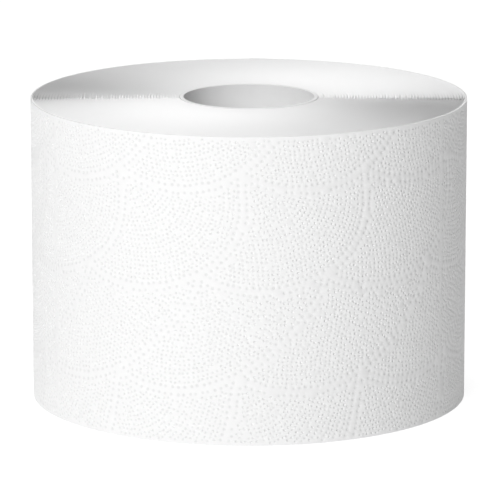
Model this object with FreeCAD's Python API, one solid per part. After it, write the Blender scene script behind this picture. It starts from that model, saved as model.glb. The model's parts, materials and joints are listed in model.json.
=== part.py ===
import FreeCAD, Part
import os

# A roll of toilet paper, standing on its end.
#
# One long web of embossed tissue is wound round a board tube and its tail is
# stuck down at the back. The wide log that comes off the winder is then sawn
# into rolls, board and paper in the same stroke, so both end flush at both
# ends. The origin is on the axis of the tube, in the lower sawn face; +Z runs
# up the tube, and the front of the roll faces -Y. All sizes are millimetres.

# The board tube.
core_bore = 40.0
core_wall = 1.2
core_slack = 0.2  # between the tube and the first turn, which is glued on at one spot only

# The wound web.
roll_diameter = 134.0  # from the tail edge to the wall opposite it
web_width = 93.0  # as wide as the roll is tall when it stands
turn_thickness = 0.2  # one turn of the web, two plies, as tightly as it is wound

# The sawn ends. The saw lays the cut edges of the turns over, all towards the
# same side, and leaves them as a fine spiral of slopes and steps. Each ridge
# here stands for a bundle of turns.
ridge_count = 9
ridge_depth = 0.4
plain_ring = 0.8  # smooth ring beside the tube, and at least that by the wall
ridge_drop = 0.1  # how far the ridges stay under the plain rings
step_width = 0.3  # across the steep side of a ridge

core_radius = core_bore / 2 + core_wall
web_bore_radius = core_radius + core_slack
roll_radius = roll_diameter / 2
first_ridge_radius = web_bore_radius + plain_ring
last_ridge_radius = roll_radius - turn_thickness - plain_ring
ridge_pitch = (last_ridge_radius - first_ridge_radius) / (ridge_count + 1)

UP = FreeCAD.Vector(0, 0, 1)
HALF_TURN = 180


def half_circle(centre_y, radius, side):
    """Half of a circle that starts and ends on the Y axis; side is +1 for the half at +X."""
    back = FreeCAD.Vector(0, centre_y + radius, 0)
    middle = FreeCAD.Vector(side * radius, centre_y, 0)
    front = FreeCAD.Vector(0, centre_y - radius, 0)
    return Part.Arc(back, middle, front).toShape()


def spiral_wall():
    """The outermost turn seen from above: it loses one thickness on its way round.

    Two half circles make the turn. Their centres lie a quarter of a thickness
    either side of the axis, so they run smoothly into each other at the front
    and leave a step of one thickness at the back, which is the tail's edge.
    """
    offset = turn_thickness / 4
    right_half = half_circle(offset, roll_radius - offset, 1)
    left_half = half_circle(-offset, roll_radius - 3 * offset, -1)
    under_tail = FreeCAD.Vector(0, roll_radius - turn_thickness, 0)
    tail_edge = FreeCAD.Vector(0, roll_radius, 0)
    step = Part.LineSegment(under_tail, tail_edge).toShape()
    return Part.Wire(Part.__sortEdges__([right_half, left_half, step]))


def ridge_outline(centre_x, first_radius, leans_outward, end_z, outward_z):
    """Closed outline, in the XZ plane, of what the saw takes off one end of one half.

    outward_z is +1 at the top end and -1 at the bottom end. Slopes that lean
    outward fall away from the axis and rise again in a steep step; the others
    rise away from the axis and fall in a steep step.
    """
    crest_z = end_z - outward_z * ridge_drop
    valley_z = crest_z - outward_z * ridge_depth
    clear_z = end_z + outward_z * ridge_depth
    inner_z, outer_z = (crest_z, valley_z) if leans_outward else (valley_z, crest_z)
    points = [(first_radius, clear_z)]
    for ridge in range(ridge_count):
        inner = first_radius + ridge * ridge_pitch
        points.append((inner, inner_z))
        points.append((inner + ridge_pitch - step_width, outer_z))
    last_radius = first_radius + ridge_count * ridge_pitch
    points.append((last_radius, inner_z))
    points.append((last_radius, clear_z))
    corners = [FreeCAD.Vector(centre_x + radius, 0, z) for radius, z in points]
    return Part.makePolygon(corners + corners[:1])


def sawn_away(end_z, outward_z):
    """What the saw takes off one end: two half rings that join into one spiral.

    The half at the back turns about a centre half a pitch across from the
    axis, so each ridge at the front meets the next one further out. All slopes
    face the front, so they lean outward at the front and inward at the back.
    """
    halves = []
    for leans_outward in (True, False):
        shift = 0 if leans_outward else ridge_pitch / 2
        outline = ridge_outline(
            shift, first_ridge_radius + shift, leans_outward, end_z, outward_z
        )
        turn = -HALF_TURN if leans_outward else HALF_TURN
        axis_foot = FreeCAD.Vector(shift, 0, 0)
        halves.append(Part.Face(outline).revolve(axis_foot, UP, turn))
    return halves


def wound_tissue():
    """All turns of the web as one solid, with the tail's step at the back."""
    rise = UP * web_width
    roll = Part.Face(spiral_wall()).extrude(rise)
    room_for_core = Part.makeCylinder(web_bore_radius, web_width)
    tools = sawn_away(web_width, 1) + sawn_away(0, -1)
    return roll.cut(room_for_core).cut(tools)


def core_tube():
    """The board tube that the web is wound on, sawn off flush with it."""
    wall = Part.makeCylinder(core_radius, web_width)
    bore = Part.makeCylinder(core_bore / 2, web_width)
    return wall.cut(bore)


def single_solid(shape, name):
    """The one valid, closed solid that a node is made of."""
    solids = shape.Solids
    if len(solids) != 1 or not solids[0].isValid() or solids[0].Volume <= 0:
        raise ValueError(f"{name} came out as {len(solids)} solids or is not valid")
    return solids[0]


os.makedirs("parts", exist_ok=True)
for node, shape in (("wound_tissue", wound_tissue()), ("core_tube", core_tube())):
    solid = single_solid(shape, node)
    solid.exportStep(f"parts/{node}.step")
    print(node, "faces", len(solid.Faces), "volume_cm3", round(solid.Volume / 1000, 2))
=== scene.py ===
import json
import math

import bpy
import numpy as np
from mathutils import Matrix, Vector
from mathutils.geometry import delaunay_2d_cdt


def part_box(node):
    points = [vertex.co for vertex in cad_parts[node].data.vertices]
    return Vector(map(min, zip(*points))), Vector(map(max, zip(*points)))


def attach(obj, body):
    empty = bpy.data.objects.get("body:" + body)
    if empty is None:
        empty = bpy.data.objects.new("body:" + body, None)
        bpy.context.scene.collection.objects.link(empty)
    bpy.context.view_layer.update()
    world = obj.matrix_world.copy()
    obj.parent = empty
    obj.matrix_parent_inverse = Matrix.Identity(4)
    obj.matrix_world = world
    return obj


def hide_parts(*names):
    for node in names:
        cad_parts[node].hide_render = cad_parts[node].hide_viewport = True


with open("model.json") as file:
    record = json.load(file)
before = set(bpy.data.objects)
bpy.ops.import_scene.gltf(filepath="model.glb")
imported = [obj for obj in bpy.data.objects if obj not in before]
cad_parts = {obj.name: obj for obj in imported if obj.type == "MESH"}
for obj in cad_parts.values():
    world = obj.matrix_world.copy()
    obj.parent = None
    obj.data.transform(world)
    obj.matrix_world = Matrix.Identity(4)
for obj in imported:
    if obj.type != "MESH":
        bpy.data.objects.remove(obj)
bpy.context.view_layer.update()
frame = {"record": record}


# The board tube. A strip of pale grey board is wound in a helix, its edges
# butted and glued, and the tube is sawn off together with the paper. The butt
# joint shows in the bore as a slanting groove.
MM = 0.001
TURN = 2 * math.pi

core_bore = next(m for m in frame["record"]["mounts"] if m["name"] == "core_bore")
bore_radius = core_bore["dims"]["r_mm"] * MM
tube_low, tube_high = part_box("core_tube")
tube_radius = (tube_high[0] - tube_low[0]) / 2
web_width = tube_high[2]

strip_width = 60 * MM
joint_width = 0.35 * MM
joint_depth = 0.12 * MM
joint_start = 200  # degrees round the bore, where the joint leaves the lower end
sawn_bevel = 0.05 * MM
tube_rows = 60
tube_columns = 120
groove_columns = 9
groove_steepness = 2


def add_node(tree, kind, inputs=None, output=0, **settings):
    """Add a node, set it, link or fill its inputs, and give one output, or the node for None."""
    node = tree.nodes.new(kind)
    for name, value in settings.items():
        setattr(node, name, value)
    for key, value in (inputs or {}).items():
        if isinstance(value, bpy.types.NodeSocket):
            tree.links.new(value, node.inputs[key])
        else:
            node.inputs[key].default_value = value
    return node if output is None else node.outputs[output]


def linear(hex_colour):
    """An sRGB hex colour as linear red, green, blue and alpha."""
    parts = [int(hex_colour[i : i + 2], 16) / 255 for i in (1, 3, 5)]
    return [p / 12.92 if p <= 0.04045 else ((p + 0.055) / 1.055) ** 2.4 for p in parts] + [1.0]


def closed_skin(name, points):
    """A mesh over a grid of points that closes on itself both ways, as a tube's skin does."""
    rows, columns = points.shape[:2]
    index = np.arange(rows * columns).reshape(rows, columns)
    next_row = np.roll(index, -1, axis=0)
    next_column = np.roll(index, -1, axis=1)
    diagonal = np.roll(next_row, -1, axis=1)
    faces = np.stack([index, next_row, diagonal, next_column], axis=-1).reshape(-1, 4)
    mesh = bpy.data.meshes.new(name)
    mesh.from_pydata(points.reshape(-1, 3).tolist(), [], faces.tolist())
    return mesh


def board_tube_mesh():
    """The tube's skin, drawn on lines that follow the helix, so the joint is one of them."""
    bore_length = TURN * bore_radius
    helix_rise = bore_length * math.tan(math.asin(strip_width / bore_length))
    angle_per_height = TURN / helix_rise
    joint_angle = joint_width / bore_radius
    beside_joint = np.linspace(-1, 1, groove_columns) * joint_angle
    rest = np.linspace(joint_angle, TURN - joint_angle, tube_columns)[1:-1]
    columns = np.concatenate([beside_joint, rest])
    groove = joint_depth * np.exp(-((beside_joint / joint_angle * groove_steepness) ** 2))
    groove = np.concatenate([groove, np.zeros(len(rest))])

    up = np.linspace(sawn_bevel, web_width - sawn_bevel, tube_rows)
    inner = [(bore_radius, z, 1.0) for z in up]
    outer = [(tube_radius, z, 0.0) for z in up[::-1]]
    top = [(bore_radius + sawn_bevel, web_width, 1.0), (tube_radius - sawn_bevel, web_width, 0.0)]
    bottom = [(tube_radius - sawn_bevel, 0.0, 0.0), (bore_radius + sawn_bevel, 0.0, 1.0)]
    profile = np.array(inner + top + outer + bottom)
    radius = profile[:, 0, None] + profile[:, 2, None] * groove[None, :]
    height = np.broadcast_to(profile[:, 1, None], radius.shape)
    angle = math.radians(joint_start) + columns[None, :] + height * angle_per_height
    skin = np.stack([radius * np.cos(angle), radius * np.sin(angle), height], -1)
    return closed_skin("core_board", skin)


def show(name, mesh, material, node, sharp_degrees):
    """Put a finished mesh in the scene as one piece that stands for a modelled node."""
    piece = bpy.data.objects.new(name, mesh)
    bpy.context.scene.collection.objects.link(piece)
    if material and not mesh.materials:
        mesh.materials.append(material)
    mesh.shade_smooth()
    mesh.set_sharp_from_angle(angle=math.radians(sharp_degrees))
    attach(piece, "root")
    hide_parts(node)


# Grey-white board, uncoated: fine short fibres and a faint mottle.
board_colour = linear("#F9F9F9")
board_shadow_colour = linear("#F2F2F2")
board_fibre = 0.25 * MM
board_mottle = 6 * MM

board = bpy.data.materials.new("uncoated_paperboard")
board.use_nodes = True
tree = board.node_tree
place = add_node(tree, "ShaderNodeTexCoord", output="Object")
mottle = add_node(
    tree, "ShaderNodeTexNoise", {"Vector": place, "Scale": 1 / board_mottle, "Detail": 3.0}
)
fibres = add_node(
    tree, "ShaderNodeTexNoise", {"Vector": place, "Scale": 1 / board_fibre, "Detail": 2.0}
)
tint = add_node(
    tree, "ShaderNodeMix", {"Factor": mottle, "A": board_shadow_colour, "B": board_colour},
    output=2, data_type="RGBA",
)
shader = tree.nodes["Principled BSDF"]
tree.links.new(tint, shader.inputs["Base Color"])
shader.inputs["Roughness"].default_value = 0.85
shader.inputs["Specular IOR Level"].default_value = 0.3
bump = add_node(
    tree, "ShaderNodeBump", {"Height": fibres, "Strength": 0.35, "Distance": 0.03 * MM}
)
tree.links.new(bump, shader.inputs["Normal"])

show("core_board", board_tube_mesh(), board, "core_tube", sharp_degrees=40)


# The wound web. Some hundreds of turns of tissue lie so tight that only their
# sawn edges show, on both ends. The saw dragged those edges towards the back,
# so each turn overlaps the next like a shingle, and all shingles face forward.
web_low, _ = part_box("wound_tissue")
sheet_thickness = 0.2 * MM
web_slack = 0.12 * MM  # between the tube and the first turn
slip = 0.005 * MM  # between one sheet and the next
shell_thickness = 2 * sheet_thickness  # the wall is shown as two turns that lie together
wall_radius = -web_low[0]
turn_pitch = 0.45 * MM  # real turns are finer, and these are as fine as the render shows
lay_at_bore = 0.26  # height of the cut edges over the gaps, as a share of a turn's width
lay_at_wall = 2.1
round_steps = 224
flip_line = -4 * MM  # where along Y the shingles change from one side to the other
flip_width = 1 * MM
lean_at_line = 0.22  # how far off a turn's middle its crest is, in turn widths
lean_at_side = 0.42
full_lean_at = 0.6  # of the radius, away from the line
lean_growth = (lean_at_side - lean_at_line) / full_lean_at
ragged_reach = 15 * MM  # how far behind that line the turns still lean unevenly
raggedness = 1.3
by_chance = 0.5  # share of the unevenness that is random; the rest goes by turns
ragged_fade = 0.3  # of each turn's own reach
under_saw = 0.06 * MM  # how far the crests stay under the sawn face
plain_ring = 0.05 * MM  # flat ring that the saw leaves beside the wall
ring_edge = 0.02 * MM  # between the last gap and that ring's first flush column
crest_margin = 0.08  # how near to the gaps a crest may come, in turn widths
second_draw = 0.37  # added to a turn's number, it gives the turn another random value
weld_distance = 0.001 * MM


def node_input(tree, name, kind, value):
    """A named input of a Geometry Nodes tree, with its default."""
    item = tree.interface.new_socket(name, in_out="INPUT", socket_type=kind)
    item.default_value = value
    return item.identifier


def sawn_web_tree():
    """Geometry Nodes: a grid with columns round the sawn profile and rows round the roll.

    The columns are by turns the gap inside a turn and the crest of its cut
    edge, first on the top end from the bore to the wall, then on the bottom
    end from the wall to the bore. Each gap moves out by one turn on its way
    round, so the turns make one spiral.
    """
    tree = bpy.data.node_groups.new("sawn_web", "GeometryNodeTree")
    tree.interface.new_socket("Geometry", in_out="OUTPUT", socket_type="NodeSocketGeometry")
    names = {}
    for name, kind, value in (
        ("Turns", "NodeSocketInt", 90),
        ("Steps round", "NodeSocketInt", 256),
        ("Bore radius", "NodeSocketFloat", 0.02),
        ("Wall radius", "NodeSocketFloat", 0.06),
        ("Web width", "NodeSocketFloat", 0.09),
        ("Lay at bore", "NodeSocketFloat", 0.4),
        ("Lay at wall", "NodeSocketFloat", 0.4),
        ("Flip line", "NodeSocketFloat", 0.0),
        ("Ragged reach", "NodeSocketFloat", 0.01),
        ("Under saw", "NodeSocketFloat", 0.0),
        ("Plain ring", "NodeSocketFloat", 0.0002),
        ("Material", "NodeSocketMaterial", None),
    ):
        names[name] = node_input(tree, name, kind, value)
    source = add_node(tree, "NodeGroupInput", output=None).outputs
    # An end has two columns a turn and five for the ring and the wall. The grid has both
    # ends, and one column more that closes it.
    across = add_node(
        tree, "ShaderNodeMath", {0: source["Turns"], 1: 4.0, 2: 11.0}, operation="MULTIPLY_ADD"
    )
    around = add_node(tree, "ShaderNodeMath", {0: source["Steps round"], 1: 1.0}, operation="ADD")
    grid = add_node(tree, "GeometryNodeMeshGrid", {"Vertices X": across, "Vertices Y": around})
    on_grid = add_node(tree, "GeometryNodeInputPosition")
    split = add_node(tree, "ShaderNodeSeparateXYZ", {0: on_grid}, output=None)
    chance = add_node(tree, "ShaderNodeTexWhiteNoise", output=None, noise_dimensions="1D")
    other_chance = add_node(tree, "ShaderNodeTexWhiteNoise", output=None, noise_dimensions="1D")
    known = {socket.name: socket for socket in source if socket.name}
    known.update(
        grid_x=split.outputs[0], grid_y=split.outputs[1],
        chance=chance.outputs["Value"], other_chance=other_chance.outputs["Value"],
    )
    steps = (
        # Which turn a column is in, counted from the bore, and whether it is a crest or a gap.
        ("end_columns", "MULTIPLY_ADD", "Turns", 2.0, 5.0),
        ("all_columns", "MULTIPLY", "end_columns", 2.0),
        ("column", "MULTIPLY_ADD", "grid_x", "all_columns", "end_columns"),
        ("column", "ROUND", "column"),
        ("column", "MODULO", "column", "all_columns"),
        ("column", "ADD", "column", 0.5),
        ("underneath", "GREATER_THAN", "column", "end_columns"),
        ("column", "PINGPONG", "column", "end_columns"),
        ("turn", "MULTIPLY", "column", 0.5),
        ("turn", "FLOOR", "turn"),
        ("is_crest", "MULTIPLY_ADD", "turn", -2.0, "column"),
        ("is_crest", "FLOOR", "is_crest"),
        # How far out the turn's own gap and the next one are.
        ("round_share", "ADD", "grid_y", 0.5),
        ("angle", "MULTIPLY", "round_share", TURN),
        ("sine", "SINE", "angle"),
        ("cosine", "COSINE", "angle"),
        ("out_by", "ADD", "turn", "round_share"),
        ("room", "SUBTRACT", "Wall radius", "Plain ring"),
        ("room", "SUBTRACT", "room", "Bore radius"),
        ("pitch", "DIVIDE", "room", "Turns"),
        ("gap_here", "SUBTRACT", "out_by", 1.0),
        ("gap_here", "MAXIMUM", "gap_here", 0.0),
        ("gap_here", "MINIMUM", "gap_here", "Turns"),
        ("next_gap", "MINIMUM", "out_by", "Turns"),
        ("gap_radius", "MULTIPLY_ADD", "gap_here", "pitch", "Bore radius"),
        ("width", "SUBTRACT", "next_gap", "gap_here"),
        ("width", "MULTIPLY", "width", "pitch"),
        # The crest leans outward in front of the flip line and inward behind it.
        ("past_flip", "MULTIPLY", "gap_radius", "cosine"),
        ("past_flip", "SUBTRACT", "past_flip", "Flip line"),
        ("behind", "MULTIPLY_ADD", "past_flip", 1 / flip_width, 0.5),
        ("behind", "MAXIMUM", "behind", 0.0),
        ("behind", "MINIMUM", "behind", 1.0),
        ("side", "MULTIPLY_ADD", "behind", 2.0, -1.0),
        ("off_line", "ABSOLUTE", "past_flip"),
        ("off_line", "DIVIDE", "off_line", "gap_radius"),
        ("off_line", "MINIMUM", "off_line", full_lean_at),
        ("most", "MULTIPLY_ADD", "off_line", lean_growth, lean_at_line),
        ("lean", "MULTIPLY_ADD", "side", "most", 0.5),
        # Just behind the line each turn leans by chance, over a stretch of its own.
        ("reach", "MULTIPLY_ADD", "other_chance", 0.5, 0.5),
        ("reach", "MULTIPLY", "reach", "Ragged reach"),
        ("ragged", "SUBTRACT", "reach", "past_flip"),
        ("ragged", "DIVIDE", "ragged", "reach"),
        ("ragged", "MAXIMUM", "ragged", 0.0),
        ("ragged", "MINIMUM", "ragged", ragged_fade),
        ("ragged", "MULTIPLY", "ragged", raggedness / ragged_fade),
        ("past_line", "GREATER_THAN", "past_flip", 0.0),
        ("ragged", "MULTIPLY", "ragged", "past_line"),
        ("odd", "MODULO", "turn", 2.0),
        ("odd", "MULTIPLY_ADD", "odd", 1 - by_chance, -0.5),
        ("swing", "MULTIPLY_ADD", "chance", by_chance, "odd"),
        ("lean", "MULTIPLY_ADD", "swing", "ragged", "lean"),
        ("lean", "MAXIMUM", "lean", crest_margin),
        ("lean", "MINIMUM", "lean", 1 - crest_margin),
        # The last columns make the plain ring beside the wall.
        ("ring_from", "ADD", "Turns", 0.5),
        ("wall_from", "ADD", "Turns", 1.5),
        ("in_ring", "GREATER_THAN", "turn", "ring_from"),
        ("in_wall", "GREATER_THAN", "turn", "wall_from"),
        ("ring_crest", "MULTIPLY", "in_ring", "is_crest"),
        ("own_lean", "MULTIPLY", "is_crest", "lean"),
        ("radius", "MULTIPLY_ADD", "own_lean", "width", "gap_radius"),
        ("radius", "MULTIPLY_ADD", "ring_crest", ring_edge, "radius"),
        ("radius", "MULTIPLY_ADD", "in_wall", "Plain ring", "radius"),
        # How deep the gap lies under the saw's cut, and how high the crest stands in it.
        ("share", "MAXIMUM", "out_by", 1.0),
        ("share", "MINIMUM", "share", "Turns"),
        ("share", "DIVIDE", "share", "Turns"),
        ("lay", "SUBTRACT", "Lay at wall", "Lay at bore"),
        ("lay", "MULTIPLY_ADD", "lay", "share", "Lay at bore"),
        ("at_wall", "SUBTRACT", "gap_here", "Turns"),
        ("at_wall", "ADD", "at_wall", 1.0),
        ("at_wall", "MAXIMUM", "at_wall", 0.0),
        ("has_gap", "SUBTRACT", 1.0, "at_wall"),
        ("drop", "MULTIPLY_ADD", "lay", "pitch", "Under saw"),
        ("drop", "MULTIPLY", "drop", "has_gap"),
        ("rise", "MULTIPLY", "width", "lay"),
        ("rise", "MULTIPLY", "rise", "is_crest"),
        ("drop", "SUBTRACT", "drop", "rise"),
        ("flush", "MAXIMUM", "ring_crest", "in_wall"),
        ("below_saw", "SUBTRACT", 1.0, "flush"),
        ("drop", "MULTIPLY", "drop", "below_saw"),
        ("downward", "MULTIPLY_ADD", "underneath", 2.0, -1.0),
        ("on_top", "SUBTRACT", 1.0, "underneath"),
        ("height", "MULTIPLY", "on_top", "Web width"),
        ("height", "MULTIPLY_ADD", "drop", "downward", "height"),
        ("x", "MULTIPLY", "radius", "sine"),
        ("y", "MULTIPLY", "radius", "cosine"),
        # Painted shade: the gap columns are marked for a dark tint, stronger towards the wall.
        ("is_gap", "SUBTRACT", 1.0, "is_crest"),
        ("in_gap", "MULTIPLY", "is_gap", "share"),
        ("in_gap", "MULTIPLY", "in_gap", "has_gap"),
        ("other_turn", "ADD", "turn", second_draw),
    )
    for name, operation, *values in steps:
        inputs = {place: known.get(value, value) for place, value in enumerate(values)}
        known[name] = add_node(tree, "ShaderNodeMath", inputs, operation=operation)
    for noise, turn in ((chance, "turn"), (other_chance, "other_turn")):
        tree.links.new(known[turn], noise.inputs["W"])

    place = add_node(
        tree, "ShaderNodeCombineXYZ", {0: known["x"], 1: known["y"], 2: known["height"]}
    )
    skin = add_node(
        tree, "GeometryNodeStoreNamedAttribute",
        {"Geometry": grid, "Name": "in_gap", "Value": known["in_gap"]},
        data_type="FLOAT", domain="POINT",
    )
    skin = add_node(tree, "GeometryNodeSetPosition", {"Geometry": skin, "Position": place})
    welded = add_node(
        tree, "GeometryNodeMergeByDistance", {"Geometry": skin, "Distance": weld_distance}
    )
    outward = add_node(tree, "GeometryNodeFlipFaces", {"Mesh": welded})
    real = add_node(tree, "GeometryNodeRealizeInstances", {0: outward})
    painted = add_node(
        tree, "GeometryNodeSetMaterial", {"Geometry": real, "Material": source["Material"]}
    )
    add_node(tree, "NodeGroupOutput", {0: painted}, output=None)
    return tree, names


def grown(name, start_mesh, tree, names, values):
    """The plain mesh that a Geometry Nodes tree makes from a start mesh and named values."""
    carrier = bpy.data.objects.new(name, start_mesh)
    bpy.context.scene.collection.objects.link(carrier)
    modifier = carrier.modifiers.new("shape", "NODES")
    modifier.node_group = tree
    for key, value in values.items():
        modifier[names[key]] = value
    depsgraph = bpy.context.evaluated_depsgraph_get()
    mesh = bpy.data.meshes.new_from_object(carrier.evaluated_get(depsgraph))
    bpy.data.objects.remove(carrier)
    mesh.name = name
    return mesh


# Creped tissue seen on its sawn edges: dull white, with a fine nap of cut fibres. The gaps between
# turns get painted shade, darker towards the wall.
cut_colour = linear("#FCFCFC")
gap_shade_colour = linear("#909090")  # painted shade in the gaps between turns
gap_shade_falloff = 3.0  # how fast the painted shade fades from a gap's bottom and from the wall inward
nap_size = 0.18 * MM

cut_tissue = bpy.data.materials.new("sawn_tissue_edges")
cut_tissue.use_nodes = True
tree = cut_tissue.node_tree
place = add_node(tree, "ShaderNodeTexCoord", output="Object")
nap = add_node(tree, "ShaderNodeTexNoise", {"Vector": place, "Scale": 1 / nap_size, "Detail": 2.0})
# Painted shade: the gap columns are tinted dark, standing in for shade in the gaps between turns.
in_gap = add_node(tree, "ShaderNodeAttribute", output="Fac", attribute_name="in_gap")
deep_gap_shade = add_node(tree, "ShaderNodeMath", {0: in_gap, 1: gap_shade_falloff}, operation="POWER")
tint = add_node(
    tree, "ShaderNodeMix", {"Factor": deep_gap_shade, "A": cut_colour, "B": gap_shade_colour},
    output=2, data_type="RGBA",
)
shader = tree.nodes["Principled BSDF"]
tree.links.new(tint, shader.inputs["Base Color"])
shader.inputs["Roughness"].default_value = 0.95
shader.inputs["Specular IOR Level"].default_value = 0.15
bump = add_node(tree, "ShaderNodeBump", {"Height": nap, "Strength": 0.3, "Distance": 0.03 * MM})
tree.links.new(bump, shader.inputs["Normal"])

web_bore_radius = tube_radius + web_slack
under_sheet_radius = wall_radius - shell_thickness - slip
sawn_tree, sawn_names = sawn_web_tree()
web_mesh = grown(
    "wound_web", bpy.data.meshes.new("start"), sawn_tree, sawn_names,
    {
        "Turns": round((under_sheet_radius - web_bore_radius) / turn_pitch),
        "Steps round": round_steps,
        "Bore radius": web_bore_radius,
        "Wall radius": under_sheet_radius,
        "Web width": web_width,
        "Lay at bore": lay_at_bore,
        "Lay at wall": lay_at_wall,
        "Flip line": flip_line,
        "Ragged reach": ragged_reach,
        "Under saw": under_saw,
        "Plain ring": plain_ring,
        "Material": cut_tissue,
    },
)
show("wound_web", web_mesh, None, "wound_tissue", sharp_degrees=35)


# The outermost turn: three sheets in a row, joined at their perforations. They
# are tissue embossed between steel rollers with small round dents, set out in
# overlapping scales, and the first sheet's torn edge is the roll's glued tail.
sheet_length = 140 * MM
sheet_count = 3
tail_overlap = 10 * MM  # how far the last sheet runs on under the tail
ride_length = 30 * MM  # how far the first sheet takes to settle from on top of the last
wall_length = TURN * wall_radius

scales_round = 11
scale_rise = 30.5 * MM
scale_radius = 39 * MM
first_row_at = -6 * MM
channel_half = 1.15 * MM  # from a scale's rim to the dents on either side of it
row_pitch = 1.3 * MM
dot_pitch = 1.45 * MM
border_pitch = 1.95 * MM
least_rib = 0.02 * MM  # of flat sheet between two dents
border_clear = 0.95  # of half a channel, how far the bold dents keep from any rim
field_clear = 0.85  # of a row's pitch, how far the small dents keep from the bold ones
first_field_row = 1.1  # row pitches in from the bold dents
sway = 4 * MM
sway_length = 72 * MM
dent_radius = 0.5 * MM
border_dent_radius = 0.66 * MM  # of the bolder dents along the rims
dent_floor = 0.36  # of the dent's radius
dent_depth = 0.32 * MM
dent_floor_depth = 0.75  # of the dent's full depth, where its floor meets its slope
dent_range = (0.7, 1.1)  # of the depth, from the weakest dent to the strongest
dent_scatter = 0.13 * MM
rng = np.random.default_rng(7)
dent_sides = 7

free_length = 9 * MM  # of the tail's edge, past the glue
free_lift = 0.7 * MM
free_wave = 31 * MM  # from one place where the edge stands off most to the next
wave_share = 0.35  # of the lift, how far it swings up and down from place to place

cut_length = 2.4 * MM
bond_length = 0.6 * MM
cut_half_width = 0.05 * MM
edge_step = 1.0 * MM
backing_step = 3 * MM
plain_margin = 0.2 * MM  # between a sheet's edge and the nearest dent
inside_rim = 1  # the triangulation's code for keeping only what lies inside the rim
merge_below = 1e-5  # millimetres


def across(distance):
    """A distance round the wall, brought into half a turn either way."""
    return (distance + wall_length / 2) % wall_length - wall_length / 2


def scale_centres():
    """Centres of the scales, each row half a scale on from the one below, and what covers what."""
    spacing = wall_length / scales_round
    rows = range(-2, int(web_width / scale_rise) + 3)
    spots = np.array([
        ((i + j / 2) * spacing, first_row_at + j * scale_rise, j)
        for j in rows
        for i in range(scales_round)
    ])
    beside = across(spots[:, None, 0] - spots[None, :, 0])
    above = spots[:, None, 2] - spots[None, :, 2]
    covers = (above > 0) | ((above == 0) & (beside > 0))
    return spots[:, :2], covers


def emboss_plan():
    """Where the dents are on the flat web: in rows along each scale's rim, the rims left plain."""
    centres, covers = scale_centres()
    plan = []
    for own, centre in enumerate(centres):
        widest = scale_radius - channel_half - first_field_row * row_pitch
        field = np.arange(widest, row_pitch, -row_pitch)
        rings = [(scale_radius + side * channel_half, border_pitch) for side in (1, -1)]
        rings += [(radius, dot_pitch) for radius in field]
        for number, (radius, pitch) in enumerate(rings):
            count = round(TURN * radius / pitch)
            angle = (np.arange(count) + number % 2 / 2) * TURN / count
            dots = centre + radius * np.stack([np.cos(angle), np.sin(angle)], axis=1)
            dots = dots[(dots[:, 1] > 0) & (dots[:, 1] < web_width)]
            reach = np.hypot(
                across(dots[:, None, 0] - centres[None, :, 0]),
                dots[:, None, 1] - centres[None, :, 1],
            )
            inside = reach < scale_radius
            hidden = (inside.astype(int) @ covers.astype(int)) > 0
            owner = np.argmax(inside & ~hidden, axis=1)
            rim_gap = np.where(covers[:, owner].T, reach - scale_radius, np.inf).min(axis=1)
            own_gap = scale_radius - reach[np.arange(len(dots)), owner]
            gap = np.minimum(rim_gap, own_gap)
            if number == 0:
                keep = covers[own, owner] & (gap > border_clear * channel_half)
            elif number == 1:
                keep = (owner == own) & (gap > border_clear * channel_half)
            else:
                keep = (owner == own) & (gap > channel_half + field_clear * row_pitch)
            size = np.full(keep.sum(), dent_radius if number > 1 else border_dent_radius)
            plan.append(np.column_stack([dots[keep], size]))
    plan = np.concatenate(plan)
    plan[:, :2] += rng.normal(0.0, dent_scatter, (len(plan), 2))
    plan[:, 0] = (plan[:, 0] + sway * np.sin(TURN * plan[:, 1] / sway_length)) % wall_length
    return thinned(plan)


def thinned(dots):
    """The dots, each with its radius, without those that would touch an earlier one."""
    cell_size = 2 * border_dent_radius + least_rib
    kept = []
    taken = {}
    for dot in dots.tolist():
        cell = (int(dot[0] // cell_size), int(dot[1] // cell_size))
        near = [
            other
            for i in (-1, 0, 1)
            for j in (-1, 0, 1)
            for other in taken.get((cell[0] + i, cell[1] + j), [])
        ]
        if all(math.dist(dot[:2], other[:2]) >= dot[2] + other[2] + least_rib for other in near):
            taken.setdefault(cell, []).append(dot)
            kept.append(dot)
    return np.array(kept)


def perforated_edge(at, inward):
    """Points up an edge of a sheet: it is drawn back by half a cut except at the bonds."""
    pitch = cut_length + bond_length
    points = [(at, 0.0)]
    for number in range(int(web_width / pitch)):
        start = number * pitch + bond_length
        stop = start + cut_length
        back = at + inward * cut_half_width
        if stop < web_width - bond_length:
            points += [(at, start), (back, start + cut_half_width)]
            points += [(back, (start + stop) / 2), (back, stop - cut_half_width), (at, stop)]
    return points + [(at, web_width)]


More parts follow.
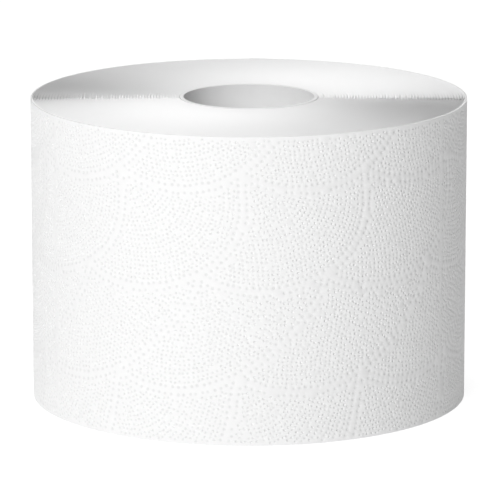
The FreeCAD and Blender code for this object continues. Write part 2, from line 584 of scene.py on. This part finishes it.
def sheet_blank(name, start, stop, dots, torn_start, torn_stop):
    """One embossed sheet laid flat, as a closed thin shell.

    x runs along the web, y across it and z into the roll.
    """
    left = perforated_edge(start, 1) if torn_start else [(start, 0.0), (start, web_width)]
    right = perforated_edge(stop, -1) if torn_stop else [(stop, 0.0), (stop, web_width)]
    along = np.arange(start + edge_step, stop - edge_step / 2, edge_step)
    rim = [(x, 0.0) for x in along] + right + [(x, web_width) for x in along[::-1]] + left[::-1]
    rim = np.array(rim)

    margin = border_dent_radius + plain_margin
    turns = np.concatenate([dots, dots + [wall_length, 0.0, 0.0]])
    inside = (turns[:, 0] > start + margin) & (turns[:, 0] < stop - margin)
    inside &= (turns[:, 1] > margin) & (turns[:, 1] < web_width - margin)
    centres = turns[inside, :2]
    size = turns[inside, 2, None, None]
    angle = np.arange(dent_sides) * TURN / dent_sides
    ring = np.stack([np.cos(angle), np.sin(angle)], axis=1)
    floor = (centres[:, None] + dent_floor * size * ring).reshape(-1, 2)
    lip = (centres[:, None] + size * ring).reshape(-1, 2)
    flat = np.concatenate([rim, centres, floor, lip])
    sink = dent_depth * rng.uniform(*dent_range, len(centres))
    floor_sink = np.repeat(dent_floor_depth * sink, dent_sides)
    sunk = np.concatenate([np.zeros(len(rim)), sink, floor_sink, np.zeros(len(lip))])
    loop = list(range(len(rim)))
    points, _, faces, origin, _, _ = delaunay_2d_cdt(
        [Vector(p / MM) for p in flat], [], [loop], inside_rim, merge_below
    )
    depth = [sunk[o[0]] if o else 0.0 for o in origin]
    front = [(p[0] * MM, p[1] * MM, d) for p, d in zip(points, depth)]

    columns = np.arange(start + backing_step, stop - backing_step / 2, backing_step)
    rows = np.arange(backing_step, web_width - backing_step / 2, backing_step)
    grid = np.stack(np.meshgrid(columns, rows), -1).reshape(-1, 2)
    behind = [Vector(p / MM) for p in np.concatenate([rim, grid])]
    back_points, _, back_faces, _, _, _ = delaunay_2d_cdt(
        behind, [], [loop], inside_rim, merge_below
    )
    ridden = np.clip(np.array([p[0] for p in back_points]) * MM / ride_length, 0, 1)
    ridden = 1 - ridden**2 * (3 - 2 * ridden)
    back = []
    for (x, y), ride in zip(back_points, ridden):
        past_overlap = x * MM > tail_overlap + MM
        thick = shell_thickness + sheet_thickness * ride if past_overlap else sheet_thickness
        back.append((x * MM, y * MM, thick))
    shift = len(front)
    faces = [tuple(reversed(face)) for face in faces]
    faces += [tuple(shift + corner for corner in face) for face in back_faces]
    ahead = loop[1:] + loop[:1]
    faces += [(a, b, shift + b, shift + a) for a, b in zip(loop, ahead)]
    mesh = bpy.data.meshes.new(name)
    mesh.from_pydata(front + back, [], faces)
    return mesh


def wrapped_tree():
    """Geometry Nodes: roll a flat sheet round the web, the tail's end over the sheet below."""
    tree = bpy.data.node_groups.new("wrapped_sheet", "GeometryNodeTree")
    tree.interface.new_socket("Geometry", in_out="INPUT", socket_type="NodeSocketGeometry")
    tree.interface.new_socket("Geometry", in_out="OUTPUT", socket_type="NodeSocketGeometry")
    names = {}
    for name, value in (
        ("Wall radius", 0.06), ("Sheet thickness", 0.0002), ("Ride-up length", 0.03),
        ("Free length", 0.009), ("Free lift", 0.0005), ("Wave length", 0.02),
    ):
        names[name] = node_input(tree, name, "NodeSocketFloat", value)
    names["Material"] = node_input(tree, "Material", "NodeSocketMaterial", None)
    source = add_node(tree, "NodeGroupInput", output=None).outputs

    flat = add_node(tree, "GeometryNodeInputPosition")
    split = add_node(tree, "ShaderNodeSeparateXYZ", {0: flat}, output=None)
    known = {socket.name: socket for socket in source if socket.name}
    known.update(along=split.outputs[0], height=split.outputs[1], depth=split.outputs[2])
    for name, length, kind in (
        ("ride", "Ride-up length", "SMOOTHSTEP"),
        ("free", "Free length", "LINEAR"),
    ):
        limits = {"Value": known["along"], "From Max": known[length], "To Min": 1.0, "To Max": 0.0}
        known[name] = add_node(tree, "ShaderNodeMapRange", limits, interpolation_type=kind)
    for name, operation, *values in (
        ("wave", "DIVIDE", "height", "Wave length"),
        ("wave", "MULTIPLY", "wave", TURN),
        ("wave", "SINE", "wave"),
        ("wave", "MULTIPLY_ADD", "wave", wave_share, 1 - wave_share),
        ("lift", "POWER", "free", 2.0),
        ("lift", "MULTIPLY", "lift", "wave"),
        ("lift", "MULTIPLY", "lift", "Free lift"),
        ("radius", "MULTIPLY_ADD", "ride", "Sheet thickness", "Wall radius"),
        ("radius", "ADD", "radius", "lift"),
        ("radius", "SUBTRACT", "radius", "depth"),
        ("angle", "DIVIDE", "along", "Wall radius"),
        ("sine", "SINE", "angle"),
        ("cosine", "COSINE", "angle"),
        ("x", "MULTIPLY", "radius", "sine"),
        ("y", "MULTIPLY", "radius", "cosine"),
    ):
        inputs = {place: known.get(value, value) for place, value in enumerate(values)}
        known[name] = add_node(tree, "ShaderNodeMath", inputs, operation=operation)

    place = add_node(
        tree, "ShaderNodeCombineXYZ", {0: known["x"], 1: known["y"], 2: known["height"]}
    )
    geometry = add_node(
        tree, "GeometryNodeStoreNamedAttribute",
        {"Geometry": source["Geometry"], "Name": "on_sheet", "Value": flat},
        data_type="FLOAT_VECTOR",
    )
    rolled = add_node(tree, "GeometryNodeSetPosition", {"Geometry": geometry, "Position": place})
    real = add_node(tree, "GeometryNodeRealizeInstances", {0: rolled})
    painted = add_node(
        tree, "GeometryNodeSetMaterial", {"Geometry": real, "Material": source["Material"]}
    )
    add_node(tree, "NodeGroupOutput", {0: painted}, output=None)
    return tree, names


# Creped tissue, two plies: soft dull white. The crepe is a fine wrinkle that
# runs across the web, and loose fibres break it up. The dents get painted shade.
crepe_pitch = 0.45 * MM
crepe_run = 3 * MM
fibre_size = 0.3 * MM
tissue_colour = linear("#F8F8F8")
dent_shade_colour = linear("#EBEBEB")  # painted shade: the dents are tinted darker
dent_shade_from = 0.6  # of a dent's depth, from where its painted shade is full

tissue = bpy.data.materials.new("creped_tissue")
tissue.use_nodes = True
tree = tissue.node_tree
place = add_node(tree, "ShaderNodeAttribute", output="Vector", attribute_name="on_sheet")
stretched = add_node(
    tree, "ShaderNodeMapping", {"Vector": place, "Scale": (1 / crepe_pitch, 1 / crepe_run, 0.0)}
)
crepe = add_node(tree, "ShaderNodeTexNoise", {"Vector": stretched, "Scale": 1.0, "Detail": 1.0})
fibres = add_node(
    tree, "ShaderNodeTexNoise", {"Vector": place, "Scale": 1 / fibre_size, "Detail": 2.0}
)
relief = add_node(tree, "ShaderNodeMath", {0: crepe, 1: fibres}, operation="ADD")
depth = add_node(tree, "ShaderNodeSeparateXYZ", {0: place}, output="Z")
# Painted shade: the tint darkens with the depth of a dent.
dent_shade = add_node(
    tree, "ShaderNodeMapRange",
    {"Value": depth, "From Max": dent_shade_from * dent_depth, "To Max": 1.0},
)
tint = add_node(
    tree, "ShaderNodeMix", {"Factor": dent_shade, "A": tissue_colour, "B": dent_shade_colour},
    output=2, data_type="RGBA",
)
shader = tree.nodes["Principled BSDF"]
tree.links.new(tint, shader.inputs["Base Color"])
shader.inputs["Roughness"].default_value = 0.95
shader.inputs["Specular IOR Level"].default_value = 0.15
bump = add_node(tree, "ShaderNodeBump", {"Height": relief, "Strength": 0.3, "Distance": 0.02 * MM})
tree.links.new(bump, shader.inputs["Normal"])

dots = emboss_plan()
rolled_tree, rolled_names = wrapped_tree()
for number in range(sheet_count):
    first = number * sheet_length
    is_last = number == sheet_count - 1
    last = wall_length + tail_overlap if is_last else first + sheet_length
    name = f"outer_sheet_{number + 1}"
    blank = sheet_blank(name, first, last, dots, True, not is_last)
    rolled = grown(
        name, blank, rolled_tree, rolled_names,
        {
            "Wall radius": wall_radius,
            "Sheet thickness": sheet_thickness + slip,
            "Ride-up length": ride_length,
            "Free length": free_length,
            "Free lift": free_lift,
            "Wave length": free_wave,
            "Material": tissue,
        },
    )
    show(name, rolled, None, "wound_tissue", sharp_degrees=35)


# The stage: a plain white floor that also gives off light, as a light table
# does, and a plain white surround. Four large soft lamps stand at the front
# left, back left, right and overhead, and the camera is low in front.
view_distance = 1338 * MM
view_elevation = 12.33  # degrees, where the camera stands above the roll's middle
view_down = 12.405  # degrees, how far it looks down
view_right = 0.016
field_of_view = 6.6  # degrees across the picture
sensor_width = 36

camera_data = bpy.data.cameras.new("camera")
camera_data.sensor_width = sensor_width
camera_data.lens = sensor_width / 2 / math.tan(math.radians(field_of_view / 2))
camera_data.clip_start = 0.01
camera_data.clip_end = 50
camera = bpy.data.objects.new("camera", camera_data)
rise = math.radians(view_elevation)
camera.location = (
    0, -view_distance * math.cos(rise), web_width / 2 + view_distance * math.sin(rise)
)
camera.rotation_euler = (math.radians(90 - view_down), 0, math.radians(-view_right))
bpy.context.scene.collection.objects.link(camera)
bpy.context.scene.camera = camera


def seen_directly(tree):
    """1 for rays that the camera, a gloss or glass shows directly, and 0 for all others."""
    path = add_node(tree, "ShaderNodeLightPath", output=None).outputs
    seen = path["Is Camera Ray"]
    for way in ("Is Glossy Ray", "Is Transmission Ray"):
        seen = add_node(tree, "ShaderNodeMath", {0: seen, 1: path[way]}, operation="MAXIMUM")
    return seen


floor_size = 12
floor_glow = 0.86  # what it shows of itself
floor_light = 0.66  # what it gives to other things, as a light table does
floor_clear = 0.02 * MM  # below the roll's lower end
floor_mesh = bpy.data.meshes.new("floor")
half = floor_size / 2
corners = [(-half, -half, 0), (half, -half, 0), (half, half, 0), (-half, half, 0)]
floor_mesh.from_pydata(corners, [], [(0, 1, 2, 3)])
floor = bpy.data.objects.new("floor", floor_mesh)
bpy.context.scene.collection.objects.link(floor)
floor.location.z = -floor_clear
white_floor = bpy.data.materials.new("white_floor")
white_floor.use_nodes = True
tree = white_floor.node_tree
shader = tree.nodes["Principled BSDF"]
shader.inputs["Base Color"].default_value = linear("#A0A0A0")
shader.inputs["Roughness"].default_value = 1.0
shader.inputs["Specular IOR Level"].default_value = 0.0
shader.inputs["Emission Color"].default_value = (1, 1, 1, 1)
glow = add_node(
    tree, "ShaderNodeMix", {"Factor": seen_directly(tree), "A": floor_light, "B": floor_glow},
    clamp_factor=True,
)
tree.links.new(glow, shader.inputs["Emission Strength"])
floor_mesh.materials.append(white_floor)

surround_level = 0.0
surround = bpy.data.worlds.new("surround")
surround.use_nodes = True
bpy.context.scene.world = surround
tree = surround.node_tree
background = tree.nodes["Background"]
background.inputs["Color"].default_value = (1, 1, 1, 1)
level = add_node(
    tree, "ShaderNodeMix", {"Factor": seen_directly(tree), "A": surround_level, "B": 1.0},
    clamp_factor=True,
)
tree.links.new(level, background.inputs["Strength"])

lamps = (
    ("front_left_lamp", -24, 26.5, 1.7, 0.9, 18.4),
    ("back_left_lamp", -138, 64, 1.7, 0.8, 12.8),
    ("right_lamp", 60, 60, 1.7, 0.8, 3.0),
    ("overhead_lamp", 0, 88, 1.7, 0.8, 1.9),
)
for name, azimuth, elevation, distance, size, power in lamps:
    out = distance * math.cos(math.radians(elevation))
    spot = (
        out * math.sin(math.radians(azimuth)),
        -out * math.cos(math.radians(azimuth)),
        web_width / 2 + distance * math.sin(math.radians(elevation)),
    )
    lamp_data = bpy.data.lights.new(name, "AREA")
    lamp_data.size = size
    lamp_data.energy = power
    lamp = bpy.data.objects.new(name, lamp_data)
    lamp.location = spot
    aim = Vector((0, 0, web_width / 2)) - Vector(spot)
    lamp.rotation_euler = aim.to_track_quat("-Z", "Y").to_euler()
    bpy.context.scene.collection.objects.link(lamp)

bpy.context.scene.view_settings.view_transform = "Standard"
